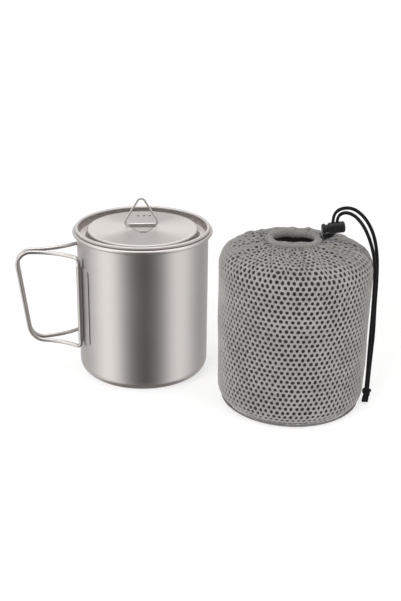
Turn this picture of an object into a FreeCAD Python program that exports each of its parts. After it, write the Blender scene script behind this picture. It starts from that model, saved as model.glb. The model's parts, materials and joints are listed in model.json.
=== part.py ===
import FreeCAD, Part
import os
from math import acos, asin, atan2, cos, degrees, pi, radians, sin, sqrt, tan
from FreeCAD import Vector

# Camping cook pot with two folding wire handles, a pressed lid with a pull ring, and its mesh
# storage bag.  Millimetres, +Z up.  The origin is the centre of the pot's base, on the ground.
# The handles point along -X.  "Front" pieces are on the -Y side, "rear" pieces on the +Y side.

# Pot
potDiameter = 95.0
potHeight = 109.0            # ground to the top of the rolled rim
potWall = 0.4
potBaseCorner = 9.0          # outer radius between base and wall
rimRoll = 1.45               # outer radius of the rolled rim
rimFlare = 4.5               # radius of the bend that leads out into the roll
rimFlareAngle = 35.0
rollEnd = -135.0             # direction, seen from the roll's centre, where the sheet ends

# Lid
lidSheet = 0.4
lidRoll = 1.25
lidSideClearance = 0.35      # between the lid's skirt and the pot's wall
lidRestGap = 0.1             # between the two rolled rims
lidDepth = 6.0               # centre of the lid's roll down to the channel floor
lidCorner = 1.5              # bend radii of the pressed lid
plateauRadius = 39.8
plateauDrop = 0.25           # plateau below the centre of the lid's roll
plateauDraft = 1.0
ventRadius = 1.0
ventSpacing = 4.3
ventCentre = Vector(1.9, 27.3, 0)

# Pull ring on the lid
ringWire = 0.75
ringBoreClearance = 0.05
ringBarrelLength = 18.6
ringBarrelSheet = 0.5
ringBarrelBehind = 2.5       # barrel axis behind the lid's centre
ringPlay = 0.9               # side play of the ring in its barrel
ringHeight = 19.4            # barrel axis to the top of the wire's centre line
ringShoulderHeight = 3.3
ringLegLean = 0.25           # each leg leans out this much from the barrel to its shoulder
ringShoulderBend = 2.8
ringEndBend = 1.0
ringTopBend = 3.0
ringLegInside = 4.0          # how far each leg reaches into the barrel
tabReach = 13.3
tabTipWidth = 4.5
tabSide = 1.6                # straight side of the tab next to the barrel

# Handles
handleWire = 1.4
handleBoreClearance = 0.05
handleSheet = 0.5
hingeAngle = 21.0            # hinge axes either side of -X, seen from the pot's centre
barrelLegGap = 4.0           # between the two ends of the wire inside the barrel
handleBottom = 24.0          # height of the lower strand's centre line
handleBelowRim = 16.0        # top of the pot down to the upper strand's centre line
barrelBelowStrand = 6.4
barrelAboveStrand = 5.0
handleBend = 4.5
handleReachTop = 45.9        # hinge axis to the grip's upper and lower corner, along -X
handleReachBottom = 37.3
gripBendTop = 11.5           # tangent length of each corner of the grip
gripBendBottom = 10.0
handleMidGap = 0.4           # between the two handles where they come closest
bracketWidth = 10.5          # hinge axis to the plate's far edge, along the wall
bracketTopCorner = 4.0
bracketBottomCorner = 2.0

# Storage bag
bagCentre = Vector(102.0, -58.0, 0)
bagWall = 1.6
bagBaseRadius = 50.6
bagShoulderRadius = 52.3
bagShoulderHeight = 112.0
bagBaseCorner = 11.0
bagShoulderCorner = 14.0
basePanelRadius = 38.0
mouthShift = -2.0            # the mouth sits a little off the bag's axis
hemRadius = 16.7
hemThickness = 2.8           # outer radius of the tube of cloth round the mouth
hemBore = 1.7
hemHeight = 118.6
buttonholeWidth = 7.0
buttonholeRaise = 0.9        # middle of the buttonhole above the middle of the hem
cordExitRaise = 1.0          # the strands leave the hem this far above its middle

# Drawcord
cordRadius = 1.2
cordArcShare = 0.45          # share of the shorter run that each bend of a strand takes up
cordLoopGap = 12.0           # half the angle left open at the buttonhole
lockCentre = Vector(25.5, 0, 126.6)
lockTilt = 6.0
strandGap = 0.3              # between the two strands in the lock
knotCentre = Vector(53.0, -13.0, 8.3)
knotRadius = 2.9
knotHalfHeight = 3.7
knotEnds = (Vector(-2.3, -1.6, 0), Vector(-0.4, -2.0, 0))   # from the knot's axis, on the ground
knotEndLift = 1.4            # centre of each short end above the ground

# Cord lock, along its own X axis, with the strands passing at 0
lockRadius = 3.85
lockMouthRoom = 0.2          # from the mouth to the slot of the released plunger
lockTravel = 1.5
lockWall = 0.8
lockRound = 1.2
lockHeadRound = 0.95
lockNeck = 0.3               # space left under the head when it is pressed
lockHeadLength = 2.4
lockHeadRadius = 3.6
stemRadius = 2.75
stemClearance = 0.1
slotClearance = 0.15
slotRoom = 0.3               # extra room along the lock for the strands' bend
stemEndWall = 0.6
springWire = 0.2
springRadius = 2.0
springLength = 2.2
springHalfTurns = 6
samePlace = 0.001            # two points nearer than this are one

nodes = {}


def rotated(shape, centre, axis, angle):
    copy = shape.copy()
    copy.rotate(centre, axis, angle)
    return copy


def moved(shape, offset):
    copy = shape.copy()
    copy.translate(offset)
    return copy


def onlySolid(shape):
    return shape.removeSplitter().Solids[0]


def unit(vector):
    return Vector(vector).normalize()


def turnAngle(before, corner, after):
    return unit(corner - before).getAngle(unit(after - corner))


def cornerArc(before, corner, after, reach):
    # Arc that leaves the first line and joins the second one at the same distance from their corner
    back = unit(before - corner)
    ahead = unit(after - corner)
    turn = turnAngle(before, corner, after)
    radius = reach / tan(turn / 2)
    inward = unit(back + ahead)
    middle = corner + inward * (radius / cos(turn / 2) - radius)
    return corner + back * reach, middle, corner + ahead * reach


def roundedPath(points, reaches):
    # Straight runs joined by tangent arcs; reaches has one tangent length for each inner point
    edges = []
    start = points[0]
    for i, reach in enumerate(reaches, 1):
        first, middle, last = cornerArc(points[i - 1], points[i], points[i + 1], reach)
        if start.distanceToPoint(first) > samePlace:
            edges.append(Part.LineSegment(start, first).toShape())
        edges.append(Part.Arc(first, middle, last).toShape())
        start = last
    edges.append(Part.LineSegment(start, points[-1]).toShape())
    return edges


def reachesFromRadii(points, radii):
    return [
        radius * tan(turnAngle(points[i], points[i + 1], points[i + 2]) / 2)
        for i, radius in enumerate(radii)
    ]


def polar(centre, radius, angle):
    return centre + Vector(radius * cos(radians(angle)), 0, radius * sin(radians(angle)))


def arcEdge(centre, radius, start, end):
    return Part.Arc(
        polar(centre, radius, start), polar(centre, radius, (start + end) / 2), polar(centre, radius, end)
    ).toShape()


def offsetPoints(points, distance):
    # The same outline moved to the right of its direction of travel in the XZ plane
    directions = [unit(b - a) for a, b in zip(points, points[1:])]
    normals = [Vector(d.z, 0, -d.x) for d in directions]
    line = [points[0] + normals[0] * distance]
    for i in range(1, len(points) - 1):
        bisector = unit(normals[i - 1] + normals[i])
        line.append(points[i] + bisector * (distance / bisector.dot(normals[i])))
    line.append(points[-1] + normals[-1] * distance)
    return line


def turnsRight(before, corner, after):
    a = corner - before
    b = after - corner
    return a.z * b.x - a.x * b.z > 0


def revolved(edges):
    face = Part.Face(Part.Wire(Part.__sortEdges__(edges)))
    return face.revolve(Vector(), Vector(0, 0, 1), 360)


def pressedSheet(points, radii, thickness, roll, flare=0.0, flareAngle=0.0):
    # Sheet metal turned about Z: the upper face follows the points from the axis out to the wall,
    # then a roll curls outward over the top.  The lower face is the same line one thickness away.
    edges = []
    ends = []
    for side in (0, thickness):
        line = offsetPoints(points, side)
        sideRadii = [
            radius - side if turnsRight(*points[i:i + 3]) else radius + side
            for i, radius in enumerate(radii)
        ]
        edges += roundedPath(line, reachesFromRadii(line, sideRadii))
        top = points[-1]
        centre = top + Vector(roll, 0, 0)
        if flareAngle:
            flareCentre = top + Vector(flare, 0, 0)
            edges.append(arcEdge(flareCentre, flare - side, 180, 180 - flareAngle))
            centre = polar(flareCentre, flare - roll, 180 - flareAngle)
        edges.append(arcEdge(centre, roll - side, 180 - flareAngle, rollEnd))
        ends.append((line[0], polar(centre, roll - side, rollEnd)))
    edges.append(Part.LineSegment(ends[0][0], ends[1][0]).toShape())
    edges.append(Part.LineSegment(ends[0][1], ends[1][1]).toShape())
    return revolved(edges)


def tubeAlong(edges, radius):
    # Round bar swept along a smooth path
    path = Part.Wire(edges)
    start = path.Edges[0].valueAt(path.Edges[0].FirstParameter)
    direction = path.Edges[0].tangentAt(path.Edges[0].FirstParameter)
    section = Part.Wire([Part.makeCircle(radius, start, direction)])
    solid = path.makePipeShell([section], True, False)
    return Part.Solid(Part.Shell(solid.Faces)), path.Length


# Heights and radii that several pieces share
potInner = potDiameter / 2 - potWall
rimCentreRadius = potInner + rimFlare - (rimFlare - rimRoll) * cos(radians(rimFlareAngle))
rimCentreHeight = potHeight - rimRoll
handleTop = potHeight - handleBelowRim
barrelTop = handleTop - barrelBelowStrand
barrelBottom = handleBottom + barrelAboveStrand
lidInner = potInner - lidSideClearance - lidSheet
lidCentreRadius = lidInner + lidRoll
rollDistance = rimRoll + lidRoll + lidRestGap
lidCentreHeight = rimCentreHeight + sqrt(rollDistance ** 2 - (rimCentreRadius - lidCentreRadius) ** 2)
plateauHeight = lidCentreHeight - plateauDrop
channelHeight = lidCentreHeight - lidDepth


def makePot():
    wallTop = rimCentreHeight - (rimFlare - rimRoll) * sin(radians(rimFlareAngle))
    points = [Vector(0, 0, potWall), Vector(potInner, 0, potWall), Vector(potInner, 0, wallTop)]
    nodes["pot_body"] = pressedSheet(
        points, [potBaseCorner - potWall], potWall, rimRoll, rimFlare, rimFlareAngle
    )


def makeLid():
    points = [
        Vector(0, 0, plateauHeight),
        Vector(plateauRadius, 0, plateauHeight),
        Vector(plateauRadius + plateauDraft, 0, channelHeight),
        Vector(lidInner, 0, channelHeight),
        Vector(lidInner, 0, lidCentreHeight),
    ]
    lid = pressedSheet(points, [lidCorner] * 3, lidSheet, lidRoll)
    for i in (-1, 0, 1):
        foot = ventCentre + Vector(i * ventSpacing, 0, plateauHeight - lidDepth)
        lid = lid.cut(Part.makeCylinder(ventRadius, 2 * lidDepth, foot))
    nodes["lid_pan"] = onlySolid(lid)


ringBore = ringWire + ringBoreClearance
ringBarrelRadius = ringBore + ringBarrelSheet
ringAxis = Vector(0, ringBarrelBehind, plateauHeight + ringBarrelRadius)


def makeRingBracket():
    half = ringBarrelLength / 2
    barrel = Part.makeCylinder(ringBarrelRadius, 2 * half, ringAxis - Vector(half, 0, 0), Vector(1, 0, 0))
    z = plateauHeight
    back = ringBarrelBehind - ringBarrelSheet
    sideEnd = ringBarrelBehind - tabSide
    tip = ringBarrelBehind - tabReach
    outline = [
        Vector(-half, back, z),
        Vector(-half, sideEnd, z),
        Vector(-tabTipWidth / 2, tip, z),
        Vector(tabTipWidth / 2, tip, z),
        Vector(half, sideEnd, z),
        Vector(half, back, z),
    ]
    tab = Part.Face(Part.makePolygon(outline + outline[:1])).extrude(Vector(0, 0, ringBarrelSheet))
    bore = Part.makeCylinder(ringBore, 4 * half, ringAxis - Vector(2 * half, 0, 0), Vector(1, 0, 0))
    nodes["lid_ring_bracket"] = onlySolid(barrel.fuse(tab).cut(bore))


def makeRing():
    # A rounded triangle of wire whose two legs turn into the ends of the barrel
    half = ringBarrelLength / 2 + ringPlay + ringEndBend
    slope = atan2(ringHeight + ringTopBend - ringShoulderHeight, half + ringLegLean)
    topCorner = ringHeight + ringTopBend * (1 / cos(slope) - 1)
    points = [
        Vector(-half + ringLegInside, 0, 0),
        Vector(-half, 0, 0),
        Vector(-half - ringLegLean, 0, ringShoulderHeight),
        Vector(0, 0, topCorner),
        Vector(half + ringLegLean, 0, ringShoulderHeight),
        Vector(half, 0, 0),
        Vector(half - ringLegInside, 0, 0),
    ]
    radii = [ringEndBend, ringShoulderBend, ringTopBend, ringShoulderBend, ringEndBend]
    ring, _ = tubeAlong(roundedPath(points, reachesFromRadii(points, radii)), ringWire)
    nodes["lid_ring"] = moved(ring, ringAxis - Vector(ringPlay, 0, 0))


potRadius = potDiameter / 2
handleBore = handleWire + handleBoreClearance
hingeRadius = potRadius + handleSheet + handleBore
hinge = Vector(-hingeRadius * cos(radians(hingeAngle)), -hingeRadius * sin(radians(hingeAngle)), 0)


def makeHandleBrackets():
    # A strip of sheet wrapped round the wire, its flap lying on the pot's wall
    height = barrelTop - barrelBottom
    base = hinge + Vector(0, 0, barrelBottom)
    barrel = Part.makeCylinder(handleBore + handleSheet, height, base)
    corners = [
        Vector(potRadius, 0, barrelBottom),
        Vector(potRadius + handleSheet, 0, barrelBottom),
        Vector(potRadius + handleSheet, 0, barrelTop),
        Vector(potRadius, 0, barrelTop),
    ]
    plateAngle = degrees(bracketWidth / potRadius)
    section = Part.Face(Part.makePolygon(corners + corners[:1]))
    plate = section.revolve(Vector(), Vector(0, 0, 1), plateAngle)
    for z, radius in ((barrelTop, bracketTopCorner), (barrelBottom, bracketBottomCorner)):
        far = [edge for edge in plate.Edges if isFarCorner(edge, z, plateAngle)]
        plate = plate.makeFillet(radius, far)
    plate.rotate(Vector(), Vector(0, 0, 1), 180 + hingeAngle)
    bore = Part.makeCylinder(handleBore, 3 * height, base - Vector(0, 0, height))
    front = onlySolid(barrel.fuse(plate).cut(bore))
    nodes["front_handle_bracket"] = front
    nodes["rear_handle_bracket"] = front.mirror(Vector(), Vector(0, 1, 0))


def isFarCorner(edge, z, angle):
    middle = edge.CenterOfMass
    return abs(middle.z - z) < samePlace and abs(degrees(atan2(middle.y, middle.x)) - angle) < samePlace


# Seen from above, each strand starts at the hinge, runs straight for one bend and then follows an
# arc whose centre comes to the pot's own axis when the handle is folded against the wall.  The
# corners of the grip lie on a slightly larger circle, and it stays clear of the middle plane.
strandRadius = sqrt(hingeRadius ** 2 - handleBend ** 2)
closestY = -handleWire - handleMidGap / 2
cornerRadius = sqrt(strandRadius ** 2 + max(gripBendTop, gripBendBottom) ** 2)
startHeading = acos((cornerRadius + hinge.y - closestY) / hingeRadius) - atan2(handleBend, strandRadius)


def heading(angle):
    # Direction at this angle from -X towards +Y
    return Vector(-cos(angle), sin(angle), 0)


def leftOf(angle):
    return Vector(-sin(angle), -cos(angle), 0)


strandCentre = hinge + heading(startHeading) * handleBend + leftOf(startHeading) * strandRadius


def headingAtReach(reach):
    # The strand's direction where it has gone this far from the hinge along -X
    beyondBend = reach - handleBend * cos(startHeading)
    return asin(sin(startHeading) - beyondBend / strandRadius)


def strandPoint(angle, z):
    return strandCentre - leftOf(angle) * strandRadius + Vector(0, 0, z)


def strandEdges(z, side, reach, gripBend):
    # Leg in the barrel, bend and arc of one strand, and the corner where it meets the grip
    legEnd = (barrelTop + barrelBottom) / 2 + side * barrelLegGap / 2
    level = hinge + Vector(0, 0, z)
    legTop = level - Vector(0, 0, side * handleBend)
    bend = cornerArc(legTop, level, level + heading(startHeading), handleBend)
    last = headingAtReach(reach) + gripBend / strandRadius
    end = strandPoint(last, z)
    edges = [
        Part.LineSegment(hinge + Vector(0, 0, legEnd), legTop).toShape(),
        Part.Arc(*bend).toShape(),
        Part.Arc(bend[2], strandPoint((startHeading + last) / 2, z), end).toShape(),
    ]
    return edges, end, end + heading(last) * gripBend


def makeHandles():
    upper, upperEnd, upperCorner = strandEdges(handleTop, 1, handleReachTop, gripBendTop)
    lower, lowerEnd, lowerCorner = strandEdges(handleBottom, -1, handleReachBottom, gripBendBottom)
    top = cornerArc(upperEnd, upperCorner, lowerCorner, gripBendTop)
    bottom = cornerArc(upperCorner, lowerCorner, lowerEnd, gripBendBottom)
    grip = [
        Part.Arc(*top).toShape(),
        Part.LineSegment(top[2], bottom[0]).toShape(),
        Part.Arc(*bottom).toShape(),
    ]
    front, length = tubeAlong(upper + grip + lower[::-1], handleWire)
    nodes["front_handle_wire"] = front
    nodes["rear_handle_wire"] = front.mirror(Vector(), Vector(0, 1, 0))
    toAxis = -hinge
    toCentre = strandCentre - hinge
    folded = atan2(toAxis.y, toAxis.x) - atan2(toCentre.y, toCentre.x)
    print("handle fold", round(degrees(folded) % 360, 2), "hinge", hinge, "wire length", round(length, 1))


# Storage bag
hemCentre = bagCentre + Vector(mouthShift, 0, hemHeight)


def makeBag():
    outside = [
        Vector(basePanelRadius, 0, 0),
        Vector(bagBaseRadius, 0, 0),
        Vector(bagShoulderRadius, 0, bagShoulderHeight),
        Vector(hemRadius, 0, hemHeight),
    ]
    radii = [bagBaseCorner, bagShoulderCorner]
    inside = offsetPoints(outside, -bagWall)
    insideRadii = [radius - bagWall for radius in radii]
    edges = roundedPath(outside, reachesFromRadii(outside, radii))
    edges += roundedPath(inside, reachesFromRadii(inside, insideRadii))
    edges.append(Part.LineSegment(outside[0], inside[0]).toShape())
    edges.append(Part.LineSegment(outside[-1], inside[-1]).toShape())
    panel = moved(revolved(edges), bagCentre)
    ring = Part.makeTorus(hemRadius, hemThickness, hemCentre)
    nodes["bag_side_panel"] = onlySolid(panel.cut(ring))
    nodes["bag_base_panel"] = Part.makeCylinder(basePanelRadius, bagWall, bagCentre)
    channel = ring.cut(Part.makeTorus(hemRadius, hemBore, hemCentre))
    buttonhole = Part.makeBox(
        2 * hemThickness, buttonholeWidth, 2 * hemBore,
        hemCentre + Vector(hemRadius, -buttonholeWidth / 2, buttonholeRaise - hemBore),
    )
    nodes["bag_hem_channel"] = onlySolid(channel.cut(buttonhole))


# Drawcord: the lock's own frame, then one route for each strand, measured from the bag's centre
lockAxis = Vector(cos(radians(lockTilt)), 0, sin(radians(lockTilt)))
lockUp = Vector(-sin(radians(lockTilt)), 0, cos(radians(lockTilt)))
strandSpacing = cordRadius + strandGap / 2


def throughLock(side, height):
    return lockCentre + lockAxis * (side * strandSpacing) + lockUp * height


strandRoutes = {
    "drawcord_tail_a": [
        Vector(14.8, 2.2, hemHeight + cordExitRaise),
        throughLock(-1, -6.1),
        throughLock(-1, 8.0),
        Vector(27.5, -0.5, 140.2),
        Vector(36.5, -1.6, 141.0),
        Vector(45.0, -3.4, 134.5),
        Vector(51.2, -5.2, 123.5),
        Vector(54.2, -7.4, 109.0),
        Vector(54.9, -8.6, 92.0),
        Vector(54.6, -10.2, 73.0),
        Vector(55.0, -11.2, 54.0),
        Vector(54.2, -12.4, 36.0),
        Vector(53.9, -12.2, 24.0),
        Vector(53.7, -12.4, 11.0),
    ],
    "drawcord_tail_b": [
        Vector(14.8, -2.2, hemHeight + cordExitRaise),
        throughLock(1, -6.1),
        throughLock(1, 7.0),
        Vector(30.5, -1.6, 138.2),
        Vector(37.2, -4.4, 136.8),
        Vector(43.2, -8.8, 130.2),
        Vector(47.6, -13.2, 120.0),
        Vector(50.7, -16.8, 106.5),
        Vector(51.0, -17.9, 89.0),
        Vector(51.4, -17.3, 71.0),
        Vector(51.6, -16.2, 53.0),
        Vector(52.0, -14.6, 36.0),
        Vector(52.3, -14.2, 24.0),
        Vector(52.2, -13.6, 11.0),
    ],
}


def makeCords():
    for name, route in strandRoutes.items():
        points = [bagCentre + point for point in route]
        runs = [a.distanceToPoint(b) for a, b in zip(points, points[1:])]
        reaches = [cordArcShare * min(a, b) for a, b in zip(runs, runs[1:])]
        turns = [turnAngle(*points[i:i + 3]) for i in range(len(reaches))]
        tube, length = tubeAlong(roundedPath(points, reaches), cordRadius)
        nodes[name] = tube
        section = pi * cordRadius ** 2
        print(name, "length", round(length, 1), "volume share", round(tube.Volume / length / section, 4))
        print("  runs", [round(run, 1) for run in runs])
        print("  radii", [round(reach / tan(turn / 2), 1) for reach, turn in zip(reaches, turns)])
    start = hemCentre + Vector(hemRadius, 0, 0)
    section = Part.Face(Part.Wire([Part.makeCircle(cordRadius, start, Vector(0, 1, 0))]))
    loop = section.revolve(hemCentre, Vector(0, 0, 1), 360 - 2 * cordLoopGap)
    nodes["drawcord_loop"] = rotated(loop, hemCentre, Vector(0, 0, 1), cordLoopGap)


def makeKnot():
    centre = bagCentre + knotCentre
    knot = Part.makeSphere(knotRadius)
    stretch = FreeCAD.Matrix()
    stretch.scale(1, 1, knotHalfHeight / knotRadius)
    knot = moved(knot.transformGeometry(stretch), centre)
    for foot in knotEnds:
        end = centre + foot + Vector(0, 0, knotEndLift - knotCentre.z)
        knot = knot.fuse(Part.makeCylinder(cordRadius, end.distanceToPoint(centre), centre, end - centre))
    nodes["cord_knot"] = onlySolid(knot)


def inLockFrame(shape):
    # The lock is drawn along X with its strands along Z, then tilted into place
    return moved(rotated(shape, Vector(), Vector(0, 1, 0), -lockTilt), bagCentre + lockCentre)


def roundedRims(shape, radius):
    rims = [edge for edge in shape.Edges if edge.Curve.TypeId == "Part::GeomCircle"]
    return shape.makeFillet(radius, rims)


def strandSlot(first, last, width):
    return Part.makeBox(last - first, width, 4 * lockRadius, Vector(first, -width / 2, -2 * lockRadius))


def makeCordLock():
    x = Vector(1, 0, 0)
    slotHalf = strandSpacing + cordRadius + slotClearance + slotRoom
    slotWidth = 2 * (cordRadius + slotClearance)
    stemEnd = slotHalf + stemEndWall
    boreEnd = stemEnd + springLength
    lockMouth = -slotHalf - lockTravel - lockMouthRoom
    barrelEnd = boreEnd + lockWall
    barrel = Part.makeCylinder(lockRadius, barrelEnd - lockMouth, Vector(lockMouth, 0, 0), x)
    barrel = roundedRims(barrel, lockRound)
    boreStart = lockMouth - lockWall
    bore = Part.makeCylinder(stemRadius + stemClearance, boreEnd - boreStart, Vector(boreStart, 0, 0), x)
    barrel = barrel.cut(bore).cut(strandSlot(-slotHalf, slotHalf, slotWidth))
    nodes["cord_lock_barrel"] = onlySolid(inLockFrame(barrel))
    headEnd = lockMouth - lockTravel - lockNeck
    head = Part.makeCylinder(lockHeadRadius, lockHeadLength, Vector(headEnd - lockHeadLength, 0, 0), x)
    head = roundedRims(head, lockHeadRound)
    stem = Part.makeCylinder(stemRadius, stemEnd - headEnd + lockRound, Vector(headEnd - lockRound, 0, 0), x)
    plunger = head.fuse(stem).cut(strandSlot(-slotHalf - lockTravel, slotHalf, slotWidth))
    nodes["cord_lock_plunger"] = onlySolid(inLockFrame(plunger))
    nodes["cord_lock_spring"] = inLockFrame(makeSpring(stemEnd, boreEnd))
    print("lock axis", lockAxis)


def makeSpring(first, last):
    # Between the stem's end and the closed end of the bore; each half turn is one arc
    start = first + springWire + slotClearance
    rise = (last - springWire - slotClearance - start) / springHalfTurns
    halfTurns = []
    for i in range(springHalfTurns):
        side = springRadius * (-1) ** i
        x = start + i * rise
        arc = Part.Arc(Vector(x, 0, side), Vector(x + rise / 2, side, 0), Vector(x + rise, 0, -side))
        halfTurns.append(arc.toShape())
    coil, _ = tubeAlong(halfTurns, springWire)
    return coil


def main():
    os.makedirs("parts", exist_ok=True)
    for make in (
        makePot, makeLid, makeRingBracket, makeRing, makeHandleBrackets, makeHandles,
        makeBag, makeCords, makeKnot, makeCordLock,
    ):
        make()
    for name, shape in nodes.items():
        shape.exportStep("parts/" + name + ".step")
        print(name, shape.ShapeType, shape.isValid(), round(shape.Volume, 1))


main()
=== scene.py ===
import json
from math import pi, radians

import bpy
import numpy as np
from mathutils import Euler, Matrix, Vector

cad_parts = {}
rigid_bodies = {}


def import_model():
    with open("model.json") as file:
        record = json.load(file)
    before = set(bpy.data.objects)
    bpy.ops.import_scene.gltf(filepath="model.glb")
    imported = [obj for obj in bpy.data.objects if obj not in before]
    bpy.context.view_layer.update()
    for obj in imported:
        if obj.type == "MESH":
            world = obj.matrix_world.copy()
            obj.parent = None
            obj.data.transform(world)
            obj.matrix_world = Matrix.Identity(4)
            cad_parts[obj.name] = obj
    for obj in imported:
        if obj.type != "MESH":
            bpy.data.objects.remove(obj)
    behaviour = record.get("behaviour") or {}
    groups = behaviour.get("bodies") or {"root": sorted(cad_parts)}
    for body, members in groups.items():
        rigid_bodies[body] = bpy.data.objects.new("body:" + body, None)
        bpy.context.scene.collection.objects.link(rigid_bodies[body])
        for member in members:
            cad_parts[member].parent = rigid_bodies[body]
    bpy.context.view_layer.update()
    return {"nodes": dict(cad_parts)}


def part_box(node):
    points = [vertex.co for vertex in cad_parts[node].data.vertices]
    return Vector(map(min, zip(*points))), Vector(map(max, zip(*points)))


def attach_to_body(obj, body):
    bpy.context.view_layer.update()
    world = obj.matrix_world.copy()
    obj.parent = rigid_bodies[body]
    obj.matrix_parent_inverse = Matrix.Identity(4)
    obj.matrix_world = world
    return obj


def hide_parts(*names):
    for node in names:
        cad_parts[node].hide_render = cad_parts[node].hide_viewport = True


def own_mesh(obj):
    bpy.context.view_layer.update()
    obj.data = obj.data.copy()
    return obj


# Camping pot with folding handles and a lid, beside its mesh storage bag.  Metres, +Z up.
# The metal parts and the cord lock's mouldings are the frame's own; this script adds their finish,
# and makes the bag's cloth, its gathered mouth and seams, the drawcord, the lock's spring and the
# spot welds.

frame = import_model()
scene = bpy.context.scene
mm = 0.001
toBack = np.array([0.0, 1.0, 0.0])
upward = np.array([0.0, 0.0, 1.0])
print("frame loaded")

# ---------- camera ----------

camera = dict(
    place=(-0.0211, -0.700, 0.3413),
    pitch=22.4,        # degrees down
    yaw=-5.2,          # degrees, towards the bag
    roll=0.8,
    lens=61.0,         # mm on a 36 mm long side
)


def addCamera(spec):
    data = bpy.data.cameras.new("camera")
    data.lens = spec["lens"]
    data.clip_start = 0.01
    obj = bpy.data.objects.new("camera", data)
    obj.location = spec["place"]
    tilt = Euler((radians(90 - spec["pitch"]), 0, radians(spec["yaw"]))).to_matrix()
    roll = Euler((0, 0, radians(spec["roll"]))).to_matrix()
    obj.rotation_euler = (tilt @ roll).to_euler()
    scene.collection.objects.link(obj)
    scene.camera = obj


addCamera(camera)
scene.view_settings.view_transform = "Standard"

# ---------- places read from the frame ----------

bagLow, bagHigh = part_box("bag_side_panel")
bagAxis = np.array([(bagLow.x + bagHigh.x) / 2, (bagLow.y + bagHigh.y) / 2, 0.0])
hemLow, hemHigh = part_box("bag_hem_channel")
plateLow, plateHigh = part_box("front_handle_bracket")
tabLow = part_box("lid_ring_bracket")[0]

# ---------- shader helpers ----------


def addNode(tree, kind, values=None, **settings):
    # A node with its settings, and each input set to a value or linked from a socket
    node = tree.nodes.new("ShaderNode" + kind)
    for name, value in settings.items():
        setattr(node, name, value)
    for key, value in (values or {}).items():
        if isinstance(value, bpy.types.NodeSocket):
            tree.links.new(value, node.inputs[key])
        else:
            node.inputs[key].default_value = value
    return node


def calc(tree, operation, *values, clamp=False):
    node = addNode(tree, "Math", dict(enumerate(values)), operation=operation, use_clamp=clamp)
    return node.outputs[0]


def blendColour(tree, amount, first, second):
    node = addNode(tree, "Mix", data_type="RGBA")
    for socket, value in ((node.inputs[0], amount), (node.inputs[6], first), (node.inputs[7], second)):
        if isinstance(value, bpy.types.NodeSocket):
            tree.links.new(value, socket)
        else:
            socket.default_value = value
    return node.outputs[2]


def newGroup(name, inputs, outputs):
    group = bpy.data.node_groups.new(name, "ShaderNodeTree")
    for socket, (kind, value) in inputs.items():
        made = group.interface.new_socket(socket, in_out="INPUT", socket_type="NodeSocket" + kind)
        if value is not None:
            made.default_value = value
    for socket in outputs:
        group.interface.new_socket(socket, in_out="OUTPUT", socket_type="NodeSocketFloat")
    return group, group.nodes.new("NodeGroupInput").outputs, group.nodes.new("NodeGroupOutput").inputs


def useGroup(tree, group, values):
    node = tree.nodes.new("ShaderNodeGroup")
    node.node_tree = group
    for key, value in values.items():
        if isinstance(value, bpy.types.NodeSocket):
            tree.links.new(value, node.inputs[key])
        else:
            node.inputs[key].default_value = value
    return node.outputs


def emptyMaterial(name):
    material = bpy.data.materials.new(name)
    material.use_nodes = True
    material.node_tree.nodes.clear()
    return material, material.node_tree


def addGlow(tree, colour, strength):
    # The material only gives light
    glow = addNode(tree, "Emission", {"Color": colour, "Strength": strength})
    addNode(tree, "OutputMaterial", {"Surface": glow.outputs[0]})


def newMaterial(name, finish):
    material = bpy.data.materials.new(name)
    material.use_nodes = True
    tree = material.node_tree
    shader = tree.nodes["Principled BSDF"]
    for key, value in finish.items():
        shader.inputs[key].default_value = value
    return material, tree, shader


# ---------- shared shader groups ----------


def makeGrainGroup():
    # Two sizes of noise: a fine one for blasted or moulded grain, a broad one for tone
    group, take, give = newGroup(
        "surfaceGrain",
        {"Vector": ("Vector", None), "Grain Size": ("Float", 0.0003), "Patch Size": ("Float", 0.02)},
        ["Grain", "Patch"],
    )
    fine = addNode(group, "TexNoise", {
        "Vector": take["Vector"], "Scale": calc(group, "DIVIDE", 1.0, take["Grain Size"]),
        "Detail": 3.0, "Roughness": 0.65,
    })
    broad = addNode(group, "TexNoise", {
        "Vector": take["Vector"], "Scale": calc(group, "DIVIDE", 1.0, take["Patch Size"]),
        "Detail": 4.0, "Roughness": 0.55,
    })
    group.links.new(fine.outputs["Fac"], give["Grain"])
    group.links.new(broad.outputs["Fac"], give["Patch"])
    return group


def makeEdgeGroup():
    # Mask of the edges, where a rounded normal leaves the true one, broken up by noise
    group, take, give = newGroup(
        "edgeWear",
        {"Vector": ("Vector", None), "Width": ("Float", 0.0003), "Amount": ("Float", 1.0)},
        ["Edge"],
    )
    bevel = addNode(group, "Bevel", {"Radius": take["Width"]}, samples=6)
    true = addNode(group, "NewGeometry")
    dot = addNode(
        group, "VectorMath", {0: bevel.outputs[0], 1: true.outputs["Normal"]}, operation="DOT_PRODUCT"
    )
    away = calc(group, "SUBTRACT", 1.0, dot.outputs["Value"])
    noise = addNode(group, "TexNoise", {"Vector": take["Vector"], "Scale": 900.0, "Detail": 3.0})
    broken = calc(group, "MULTIPLY_ADD", noise.outputs["Fac"], 1.2, 0.3)
    strong = calc(group, "MULTIPLY", calc(group, "MULTIPLY", away, 5.0), broken)
    group.links.new(calc(group, "MULTIPLY", strong, take["Amount"], clamp=True), give["Edge"])
    return group


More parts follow.
